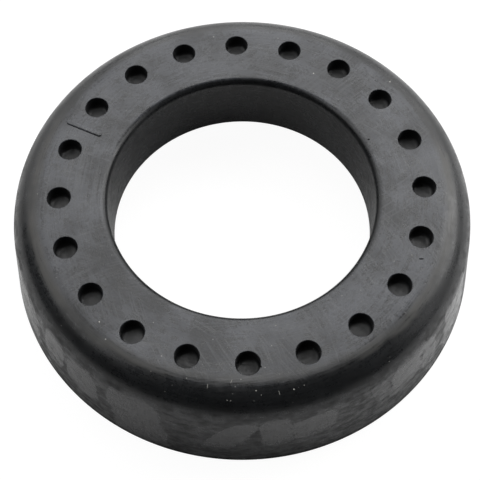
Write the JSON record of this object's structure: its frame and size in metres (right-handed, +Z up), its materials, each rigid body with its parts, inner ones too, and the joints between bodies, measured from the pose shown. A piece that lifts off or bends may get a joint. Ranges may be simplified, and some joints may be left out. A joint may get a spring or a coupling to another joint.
{
  "type": "coil spring insulator",
  "caption": "Moulded rubber ring that seats a coil spring's end, with a round bore, a ring of blind holes in its top face and a skirt around the spring's seat.",
  "frame": {"origin": "centre of the ring, in the plane of the skirt's rim that it stands on", "axes": "+Z up along the axis of the bore, from the rim to the face with the holes; +Y towards the hole at the far side of the pictured view; +X to its right"},
  "size_m": [0.1508, 0.1508, 0.0349],
  "materials": {
    "black_rubber": "matt moulded rubber with a slight sheen"
  },
  "bodies": {
    "root": {"spring_insulator": "black_rubber"}
  },
  "joints": []
}
